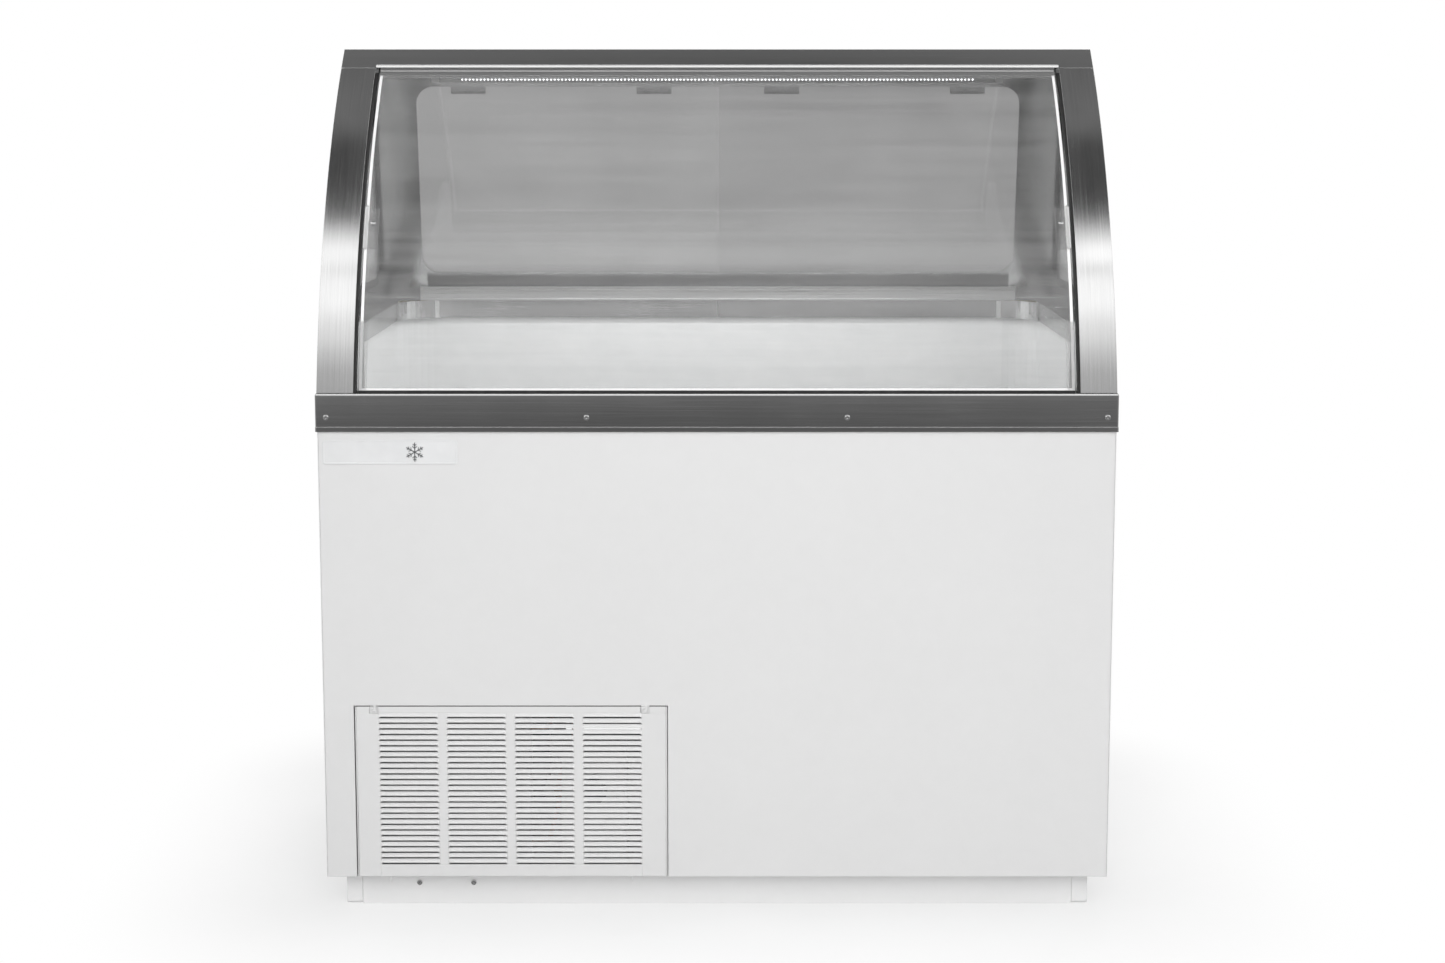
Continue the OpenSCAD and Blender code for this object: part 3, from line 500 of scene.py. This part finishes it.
def screw_head(build, point, normal, r, h):
    """Pan head with a cross recess, turned at random."""
    turn = random.uniform(0, 1.5)
    cos, sin = math.cos(turn), math.sin(turn)
    arm, half = r * 0.52, r * 0.13       # the cross's reach and half its width

    def recess(x, y):
        u, v = abs(cos * x - sin * y), abs(sin * x + cos * y)
        inside = (u < arm and v < half) or (v < arm and u < half)
        return h * 0.55 * (1 - 0.55 * max(u, v) / arm) if inside else 0.0

    flank = [(1, 0.0), (1, 0.25), (0.97, 0.45), (0.9, 0.65), (0.8, 0.8), (0.68, 0.9)]
    crown = [(k, 1 - 0.12 * k) for k in (0.56, 0.5, 0.44, 0.38, 0.32, 0.26, 0.2, 0.14, 0.09, 0.04)]
    build.turned(facing(point, normal), [(r * out, h * up) for out, up in flank + crown], 48, recess)


screws = Build()
for xs, depth, heights, normal, stand in SCREWS:
    for x in xs:
        for z in heights:
            screw_head(screws, (x, FRONT + depth, z), normal, SCREW_R, stand)
piece("panel_screw_heads", screws, ["polished"], "cabinet", "panel_screws")

clip_screws = Build()
clip_angle = arc_angle(CLIP_SCREW_Z)
for s in (-1, 1):
    place = arc_point(s * CLIP_SCREW_X, clip_angle, GLASS_R + CLIP_OUT)
    screw_head(clip_screws, place, arc_out(clip_angle), CLIP_SCREW_R, CLIP_SCREW_H)
piece("clip_screw_heads", clip_screws, ["polished"], "glass_sash", "glass_clip_screws")


# ---------- front trim band and the cap's lip ----------

BAND_HALF, BAND_TOP, CORNER_R = 0.600, 0.804, 0.0025
# How far out the folded sheet is, and its height, from the lower edge up
BAND_FOLD = [(-0.0010, 0.7460), (0.0001, 0.7460), (0.0004, 0.7462), (0.0005, 0.7467), (0.0005, 0.7529),
             (0.00035, 0.7534), (0.0, 0.7536), (0.0, 0.8009), (-0.00008, 0.8013), (-0.00105, 0.8036),
             (-0.0014, 0.8039), (-0.0019, BAND_TOP)]
side_band_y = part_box("trim_band_sides")[0][1]

# X, Y, the way out in degrees and the corner's radius, from the left end round to the right one
stations = [(-BAND_HALF - CORNER_R, side_band_y, 180, 0.0)]
stations += [(-BAND_HALF, FRONT, 180 + a, CORNER_R) for a in range(0, 91, 15)]
stations += [(BAND_HALF, FRONT, 270 + a, CORNER_R) for a in range(0, 91, 15)]
stations += [(BAND_HALF + CORNER_R, side_band_y, 360, 0.0)]

band = Build()
rows = []
for x, y, a, r in stations:
    way = Vector((math.cos(math.radians(a)), math.sin(math.radians(a)), 0))
    rows.append([Vector((x, y, z)) + way * (r + out) for out, z in BAND_FOLD])
band.grid(rows)
# The return along its top edge, as depth and height
flange = ((0.0006, BAND_TOP), (0.008, BAND_TOP), (0.008, BAND_TOP - 0.0015))
band.grid([[(x, FRONT + depth, z) for depth, z in flange] for x in (-BAND_HALF, BAND_HALF)])
piece("folded_trim_band", band, ["steel_x"], "cabinet", "trim_band_front", smooth=15)

LIP_HALF = 0.5445
# Depth and height, from the lower edge up
LIP_FOLD = [(0.2750, 1.2919), (0.2726, 1.2919), (0.2722, 1.2922), (0.2722, 1.2926), (0.2734, 1.2960),
            (0.2746, 1.2966), (0.2770, 1.2972)]
cap_lip = Build()
cap_lip.grid([[(x, FRONT + depth, z) for depth, z in LIP_FOLD] for x in (-LIP_HALF, LIP_HALF)])
piece("cap_lip", cap_lip, ["steel_x"], "cabinet", smooth=15)


# ---------- louvred grille ----------

grille_low, grille_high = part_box("grille_panel")
GRILLE_LEFT, GRILLE_RIGHT = grille_low[0], grille_high[0]
GRILLE_FOOT, GRILLE_TOP = 0.0545, 0.3225
FOLD_R = 0.0012                              # radius of the folds down the sheet's sides
COLUMNS, ROWS = 4, 27
LOUVRE_X, LOUVRE_W, PITCH_X = -0.5164, 0.0907, 0.1037
LIP_Z, PITCH_Z, SLOT = 0.307, 0.00886, 0.0030   # the top row's lip, the rows' pitch and the slot's height
NOTCH_FOOT, NOTCH_W = 0.3115, 0.013          # notches for the turn tabs at the top edge
NOTCHES = (-0.530, -0.116)                   # their left edges
LUGS, LUG_HALF = (-0.502, -0.130), 0.001     # lugs below the sheet: middles and half width
SHADE_SHEET_FRONT, SHADE_SHEET_BACK = 0.0022, 0.014        # a dark sheet round the grille, painted shade in the gap between it and the panel

END_STEPS = (0, 0.0005, 0.0012, 0.0020, 0.0030)   # where a louvre closes at its ends
middle_steps = [LOUVRE_W * k / 6 for k in range(1, 6)]
louvre_steps = [*END_STEPS, *middle_steps, *(LOUVRE_W - step for step in reversed(END_STEPS))]
# Height above the lip, how far it stands out, and how far it drops where the louvre's ends close
LOUVRE = [(PITCH_Z - SLOT, -0.0013, 0), (PITCH_Z - SLOT, -0.0004, 0), (PITCH_Z - SLOT - 0.0004, 0, 0),
          (0.0040, 0, 0), (0.0031, 0.0003, 0), (0.0022, 0.0009, 0), (0.0014, 0.0014, 0),
          (0.0006, 0.0018, 0.3), (0.0, 0.0020, 1), (-0.0001, 0.0011, 1)]

louvres_top = LIP_Z + PITCH_Z - SLOT
louvres_foot = LIP_Z - (ROWS - 1) * PITCH_Z - SLOT
louvres_right = LOUVRE_X + (COLUMNS - 1) * PITCH_X + LOUVRE_W
grille = Build()


def louvre(left, lip):
    """One louvre. Its profile fades into the sheet at both ends."""
    rows = []
    for dx in louvre_steps:
        t = min(1.0, min(dx, LOUVRE_W - dx) / END_STEPS[-1])
        a = t * t * (3 - 2 * t)
        rows.append([(left + dx, FRONT - out * a, lip + up - SLOT * (1 - a) * drop)
                     for up, out, drop in LOUVRE])
    grille.grid(rows)


def flat(x0, x1, z0, z1, depth=0.0):
    """A flat part of the sheet."""
    y = FRONT + depth
    grille.quad([(x0, y, z1), (x0, y, z0), (x1, y, z0), (x1, y, z1)])


for col in range(COLUMNS):
    for row in range(ROWS):
        louvre(LOUVRE_X + col * PITCH_X, LIP_Z - row * PITCH_Z)

inner_left, inner_right = GRILLE_LEFT + FOLD_R, GRILLE_RIGHT - FOLD_R
flat(inner_left, LOUVRE_X, GRILLE_FOOT, NOTCH_FOOT)
flat(louvres_right, inner_right, GRILLE_FOOT, NOTCH_FOOT)
flat(LOUVRE_X, louvres_right, GRILLE_FOOT, louvres_foot)
for col in range(COLUMNS - 1):
    left = LOUVRE_X + col * PITCH_X
    flat(left + LOUVRE_W, left + PITCH_X, louvres_foot, louvres_top)
gap_left, gap_right = louvres_right - 0.002, louvres_right + 0.0115   # the sheet's gap at the right notch
for x0, x1 in ((inner_left, NOTCHES[0]), (NOTCHES[0] + NOTCH_W, LOUVRE_X), (gap_right, inner_right)):
    flat(x0, x1, NOTCH_FOOT, GRILLE_TOP)
flat(LOUVRE_X, gap_left, louvres_top, GRILLE_TOP)
for x in NOTCHES:
    flat(x, x + NOTCH_W, NOTCH_FOOT - 0.001, GRILLE_TOP, 0.0016)
for x in LUGS:
    for depth in (0, 0.001):
        flat(x - LUG_HALF, x + LUG_HALF, grille_low[2], GRILLE_FOOT, depth)

for x, s in ((GRILLE_LEFT, 1), (GRILLE_RIGHT, -1)):
    bend = [math.radians(a) for a in (0, 30, 60, 90)]
    side = [(x + s * FOLD_R * (1 - math.sin(a)), FRONT + FOLD_R * (1 - math.cos(a))) for a in bend]
    rows = [[(px, py, z) for z in (GRILLE_FOOT, GRILLE_TOP)] for px, py in side + [(x, FRONT + 0.012)]]
    grille.grid(rows if s < 0 else rows[::-1])
    # A dark quad behind each side of the sheet, painted shade in the gap to the panel.
    corners = ((SHADE_SHEET_FRONT, GRILLE_TOP), (SHADE_SHEET_FRONT, GRILLE_FOOT),
               (SHADE_SHEET_BACK, GRILLE_FOOT), (SHADE_SHEET_BACK, GRILLE_TOP))
    grille.quad([(x - s * 0.0004, FRONT + depth, z) for depth, z in corners], kind=1)
# Dark quads along the top edge behind the sheet, painted shade in the gap.
shade_sheet_ends = (GRILLE_LEFT, NOTCHES[0], NOTCHES[0] + NOTCH_W, NOTCHES[1], NOTCHES[1] + NOTCH_W, GRILLE_RIGHT)
for x0, x1 in zip(shade_sheet_ends[::2], shade_sheet_ends[1::2]):
    corners = ((x0, SHADE_SHEET_FRONT), (x1, SHADE_SHEET_FRONT), (x1, SHADE_SHEET_BACK), (x0, SHADE_SHEET_BACK))
    grille.quad([(x, FRONT + depth, GRILLE_TOP) for x, depth in corners], kind=1)

louvres = piece("louvred_grille", grille, ["paint", "rubber"], "grille", "grille_panel", 50)
bpy.context.view_layer.objects.active = louvres
thick = louvres.modifiers.new("thick", "SOLIDIFY")
thick.thickness, thick.offset = 0.0009, -1


# ---------- front glass ----------

glass_low, glass_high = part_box("front_glass")
GLASS_HALF, GLASS_T = glass_high[0], 0.006
OUTER_BEVEL_X, OUTER_BEVEL_R, INNER_BEVEL = 0.0045, 0.001, 0.0007
TOP_GAP = 0.0008
EDGE_STRIP, GLASS_STEPS = 0.0032, 96         # the strip's height, and steps up the curve

outer, inner = GLASS_R, GLASS_R - GLASS_T
half_section = [(GLASS_HALF - OUTER_BEVEL_X, outer), (GLASS_HALF, outer - OUTER_BEVEL_R),
                (GLASS_HALF, inner + INNER_BEVEL), (GLASS_HALF - INNER_BEVEL, inner)]   # X and radius
mirrored = [(-x, r) for x, r in reversed(half_section)]
section = mirrored[-1:] + half_section + mirrored[:-1]
n = len(section)
lowest, highest = arc_angle(glass_low[2]), arc_angle(glass_high[2] - TOP_GAP)
angles = [lowest, lowest + EDGE_STRIP / GLASS_R]
angles += [lowest + (highest - lowest) * k / GLASS_STEPS for k in range(1, GLASS_STEPS + 1)]

# Kind 0 is clear, for the two broad sides. Kind 1 is ground, for the edges and a strip along the outer side's
# lower edge, and glows faintly as a painted highlight.
glass = Build()
for a in angles:
    glass.points += [arc_point(x, a, r) for x, r in section]
last = len(angles) - 1
for i in range(last):
    for j in range(n):
        a, b = i * n + j, i * n + (j + 1) % n
        glass.faces.append((a, b, b + n, a + n))
        glass.kinds.append(0 if j == n // 2 or (j == 0 and i) else 1)
for k, order in ((0, reversed(range(n))), (last, range(n))):
    glass.faces.append(tuple(k * n + j for j in order))
    glass.kinds.append(1)
piece("curved_front_glass", glass, ["glass", "edge"], "glass_sash", "front_glass", 5)

# A rounded rib down each of the glass's clips
RIB_X, RIB_FOOT, RIB_RISE = 0.5352, 1.014, 0.066
RIB_HALF, RIB_OUT, RIB_STEPS = 0.0035, 0.0019, 24   # half width, distance off the glass and steps

ribs = Build()
for s in (-1, 1):
    rows = []
    for k in range(RIB_STEPS + 1):
        t = k / RIB_STEPS
        a = arc_angle(RIB_FOOT + RIB_RISE * t)
        middle = arc_point(s * RIB_X, a, GLASS_R + RIB_OUT)
        end = min(t, 1 - t) * RIB_RISE
        w = RIB_HALF * math.sqrt(max(0.0, 1 - max(0.0, 1 - end / RIB_HALF) ** 2))
        rows.append([middle + Vector((w * math.cos(b), 0, 0)) + arc_out(a) * (w * 0.55 * math.sin(b))
                     for b in (math.pi * j / 8 for j in range(9))])
    ribs.grid(rows)
piece("clip_ribs", ribs, ["frosted"], "glass_sash", smooth=60)


# ---------- posts that close the front corners of the deck ----------

deck_low, deck_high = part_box("side_decks")
sill_low, sill_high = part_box("front_sill")
SLACK = 0.0002                               # gap to the CAD's pieces
POST_IN, POST_OUT = 0.5462, deck_high[0] - SLACK   # X of the post's inner and outer edge
POST_FRONT, POST_BACK, POST_T = FRONT + 0.0494, FRONT + 0.0599, 0.0008
APRON_T = 0.0015

post = [(POST_IN, POST_FRONT), (POST_OUT, POST_FRONT), (POST_OUT, POST_FRONT + POST_T),
        (POST_IN + POST_T, POST_FRONT + POST_T), (POST_IN + POST_T, POST_BACK), (POST_IN, POST_BACK)]


def sheet(y0, y1):
    return [(POST_IN, y0), (POST_OUT, y0), (POST_OUT, y1), (POST_IN, y1)]


# Plan, heights of its foot and top, and the convex parts that close its ends
SQUARE, ELL = [(0, 1, 2, 3)], [(0, 1, 2, 3), (0, 3, 4, 5)]
PRISMS = (
    (post, sill_high[2] + SLACK / 2, deck_low[2], ELL),
    (sheet(POST_FRONT, deck_low[1] - SLACK), deck_low[2], deck_high[2], SQUARE),
    (sheet(sill_low[1], POST_FRONT - SLACK), sill_high[2] - APRON_T, sill_high[2], SQUARE),
)
posts = Build()
for s in (-1, 1):
    for plan, z0, z1, ends in PRISMS:
        n = len(plan)
        faces = [(i, (i + 1) % n, n + (i + 1) % n, n + i) for i in range(n)]
        faces += [end[::-1] for end in ends] + [tuple(n + i for i in end) for end in ends]
        posts.add([(s * x, y, z) for z in (z0, z1) for x, y in plan],
                  faces if s > 0 else [face[::-1] for face in faces])
piece("deck_corner_posts", posts, ["steel_x"], "cabinet", smooth=0)


# ---------- lamps under the cap ----------

LAMPS, LAMP_X, LAMP_PITCH, ROW_GAP = 139, -0.414, 0.006, 0.0036
DOME = [(0.0012, 0.0), (0.0011, 0.0006), (0.0007, 0.0010), (0.0003, 0.0012)]

strip_low, strip_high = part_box("led_strip")
strip_z = (strip_low[2] + strip_high[2]) / 2
lamps = Build()
for k in range(LAMPS):
    for z in (strip_z - ROW_GAP / 2, strip_z + ROW_GAP / 2):
        lamps.turned(facing((LAMP_X + LAMP_PITCH * k, strip_low[1], z), FORWARD), DOME, 8)
piece("lamp_domes", lamps, ["lamp"], "cabinet")


# ---------- name plate with a plain snowflake ----------

plate_low, plate_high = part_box("name_plate")
PLATE_R, CORNER_STEPS = 0.005, 6
# How far in from the outline, and how far out from the panel
PLATE_RIM = [(0, 0.0), (0, 0.0006), (0.0006, 0.001), (0.0026, 0.001), (0.0031, 0.0007), (0.0036, 0.0007)]
FLAKE_X, FLAKE_Z, FLAKE_OUT, FLAKE_BACK = -0.454, 0.7152, 0.0010, 0.0004
FLAKE_ARM, ARM_W, TWIG_W, TWIG_ANGLE = 0.0145, 0.0014, 0.0011, 52
TWIGS = ((0.006, 0.0045), (0.010, 0.0035))   # distance out along an arm, and length


def plate_outline(inset):
    """The plate's rounded outline, moved in: X and Z, from the upper right corner round."""
    r = PLATE_R - inset * 0.9
    x0, x1 = plate_low[0] + inset + r, plate_high[0] - inset - r
    z0, z1 = plate_low[2] + inset + r, plate_high[2] - inset - r
    corners = ((x1, z1, 0), (x0, z1, 90), (x0, z0, 180), (x1, z0, 270))
    turns = [(x, z, math.radians(start + 90 * k / CORNER_STEPS))
             for x, z, start in corners for k in range(CORNER_STEPS + 1)]
    return [(x + r * math.cos(a), z + r * math.sin(a)) for x, z, a in turns]


def arm(x, z, a, length, width):
    """A raised bar on the plate, from a point along an angle."""
    along = Vector((math.cos(a), 0, math.sin(a)))
    half = Vector((-along.z, 0, along.x)) * width / 2
    start = Vector((x, FRONT - FLAKE_OUT, z))
    end = start + along * length
    front = [start + half, start - half, end - half, end + half]
    back = [p + Vector((0, FLAKE_BACK, 0)) for p in front]
    plate.quad(front, kind=1)
    for i in range(4):
        plate.quad([front[i], back[i], back[(i + 1) % 4], front[(i + 1) % 4]], kind=1)


plate = Build()
rings = [[(x, FRONT - out, z) for x, z in plate_outline(inset)] for inset, out in PLATE_RIM]
n = len(rings[0])
for ring, within in zip(rings, rings[1:]):
    plate.add(ring + within, [(j, n + j, n + (j + 1) % n, (j + 1) % n) for j in range(n)])
plate.add(rings[-1], [tuple(reversed(range(n)))])
for k in range(6):
    a = math.radians(60 * k + 90)
    arm(FLAKE_X, FLAKE_Z, a, FLAKE_ARM, ARM_W)
    for distance, length in TWIGS:
        for s in (-1, 1):
            arm(FLAKE_X + distance * math.cos(a), FLAKE_Z + distance * math.sin(a),
                a + s * math.radians(TWIG_ANGLE), length, TWIG_W)
piece("blank_name_plate", plate, ["plate", "grey"], "cabinet", "name_plate", 35)


# ---------- floor ----------

FLOOR_HALF = 45
SHADED_X, SHADED_Y = 0.57, 0.30      # half sizes of the floor that shows as it is
FADE = 0.45                          # width of the fade to white round it


def pale_floor():
    """Matt, and away from the cabinet the camera sees it as plain white."""
    m = Surface("pale_floor")
    m.set(Base_Color=m.tones(m.noise(5, 4), grey(0.80), grey(0.84)), Roughness=0.7)
    place = m.add("ShaderNodeTexCoord").outputs["Object"]
    place = m.add("ShaderNodeSeparateXYZ", links={"Vector": place}).outputs
    beside = [m.math("MAXIMUM", m.math("SUBTRACT", m.math("ABSOLUTE", place[i]), half), 0.0)
              for i, half in ((0, SHADED_X), (1, SHADED_Y))]
    squares = [m.math("MULTIPLY", distance, distance) for distance in beside]
    away = m.math("POWER", m.math("ADD", *squares), 0.5)
    far = m.add("ShaderNodeMapRange", {"From Min": 0.0, "From Max": FADE, "To Min": 0.55}, {"Value": away},
                interpolation_type="SMOOTHSTEP").outputs[0]
    seen = m.add("ShaderNodeLightPath").outputs["Is Camera Ray"]
    white = m.add("ShaderNodeEmission", {"Color": (1, 1, 1, 1), "Strength": 1.0})
    return m.mixed_with(white, m.math("MULTIPLY", far, seen)).material


floor_mesh = bpy.data.meshes.new("floor")
floor_corners = [(x * FLOOR_HALF, y * FLOOR_HALF, 0) for x, y in ((-1, -1), (1, -1), (1, 1), (-1, 1))]
floor_mesh.from_pydata(floor_corners, [], [(0, 1, 2, 3)])
floor_mesh.materials.append(pale_floor())
floor = bpy.data.objects.new("floor", floor_mesh)
bpy.context.scene.collection.objects.link(floor)
floor.visible_glossy = False
floor.visible_transmission = False


# ---------- world ----------

# How bright the hall is from straight down to straight up
HALL = [(0.0, 0.13), (0.42, 0.07), (0.54, 0.10), (0.62, 0.24), (0.70, 0.50), (0.77, 0.85), (0.80, 1.0),
        (0.87, 1.0), (0.90, 0.11), (0.93, 0.04), (0.965, 0.055), (0.985, 0.15), (0.996, 0.10), (1.0, 0.065)]
HALL_GAIN, OPEN_GAIN, CEILING = 1.75, 0.24, 0.3   # the last is the height where the ceiling starts


def hall(w):
    """What steel and glass reflect: a dim hall with a bright band part of the way up and beams across its
    ceiling, lighter to the sides and behind than in front."""
    direction = w.add("ShaderNodeTexCoord").outputs["Generated"]
    x, y, height = w.add("ShaderNodeSeparateXYZ", links={"Vector": direction}).outputs
    band = w.ramp(w.math("ADD", w.math("MULTIPLY", height, 0.5), 0.5), HALL)
    band = w.add("ShaderNodeSeparateColor", links={"Color": band}).outputs[0]

    ahead = w.math("DIVIDE", y, w.math("MAXIMUM", height, 0.05))
    ceiling = w.add("ShaderNodeCombineXYZ", links={0: ahead}).outputs[0]
    beams = w.spread(w.noise(5, 3, 0.7, ceiling), 0.45, 1.0, 0.38, 0.5)
    above = w.math("GREATER_THAN", height, CEILING)
    below = w.math("SUBTRACT", 1.0, above)
    lines = w.math("ADD", w.math("MULTIPLY", above, beams), below)
    lit = w.math("MULTIPLY", w.math("MULTIPLY", band, lines), HALL_GAIN)

    back = w.math("MAXIMUM", y, 0.0)
    around = w.math("ADD", w.math("MULTIPLY", x, x), w.math("MULTIPLY", back, back))
    lit = w.math("ADD", lit, w.math("MULTIPLY", below, w.math("MULTIPLY", around, OPEN_GAIN)))
    return w.add("ShaderNodeCombineColor", links={0: lit, 1: lit, 2: lit}).outputs[0]


world = bpy.data.worlds.new("studio")
bpy.context.scene.world = world
world.use_nodes = True
studio = Tree(world.node_tree)
ray = studio.add("ShaderNodeLightPath").outputs
ambient = studio.choose(ray["Is Glossy Ray"], opaque(grey(0.50)), hall(studio))
behind = studio.choose(ray["Is Transmission Ray"], ambient, opaque(grey(0.30)))
shown = studio.choose(ray["Is Camera Ray"], behind, opaque(grey(1.0)))
studio.join(shown, world.node_tree.nodes["Background"].inputs["Color"])


# ---------- lights ----------

def area(name, location, target, width, height, power, glossy=False):
    data = bpy.data.lights.new(name, "AREA")
    data.shape, data.size, data.size_y, data.energy = "RECTANGLE", width, height, power
    obj = bpy.data.objects.new(name, data)
    bpy.context.scene.collection.objects.link(obj)
    obj.location = location
    obj.rotation_euler = (Vector(target) - Vector(location)).to_track_quat("-Z", "Y").to_euler()
    obj.visible_glossy = glossy
    obj.visible_camera = False
    obj.visible_transmission = False


area("key", (0.5, -4.4, 4.2), (0, 0, 0.6), 4.0, 3.0, 108)
area("front", (0.05, -2.4, 0.95), (0, 0, 0.5), 0.9, 0.8, 8)
area("left", (-4.0, -1.2, 2.6), (0, 0, 0.7), 2.5, 2.5, 30)
area("right", (4.0, -1.2, 2.6), (0, 0, 0.7), 2.5, 2.5, 24)
area("rear", (1.5, 4.5, 3.2), (0, 0, 0.8), 3.0, 2.5, 80)
# The lamps' light on the well starts under their housing, so that it doesn't fall on the board between them.
housing_low, housing_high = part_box("led_housing")
area("lamps_glow", (0, (housing_low[1] + housing_high[1]) / 2, housing_low[2] - 0.003),
     (0, housing_low[1] + 0.12, 0.6), 0.83, 0.02, 2.4, glossy=True)

bpy.context.scene.view_settings.view_transform = "Standard"
bpy.context.scene.view_settings.look = "None"
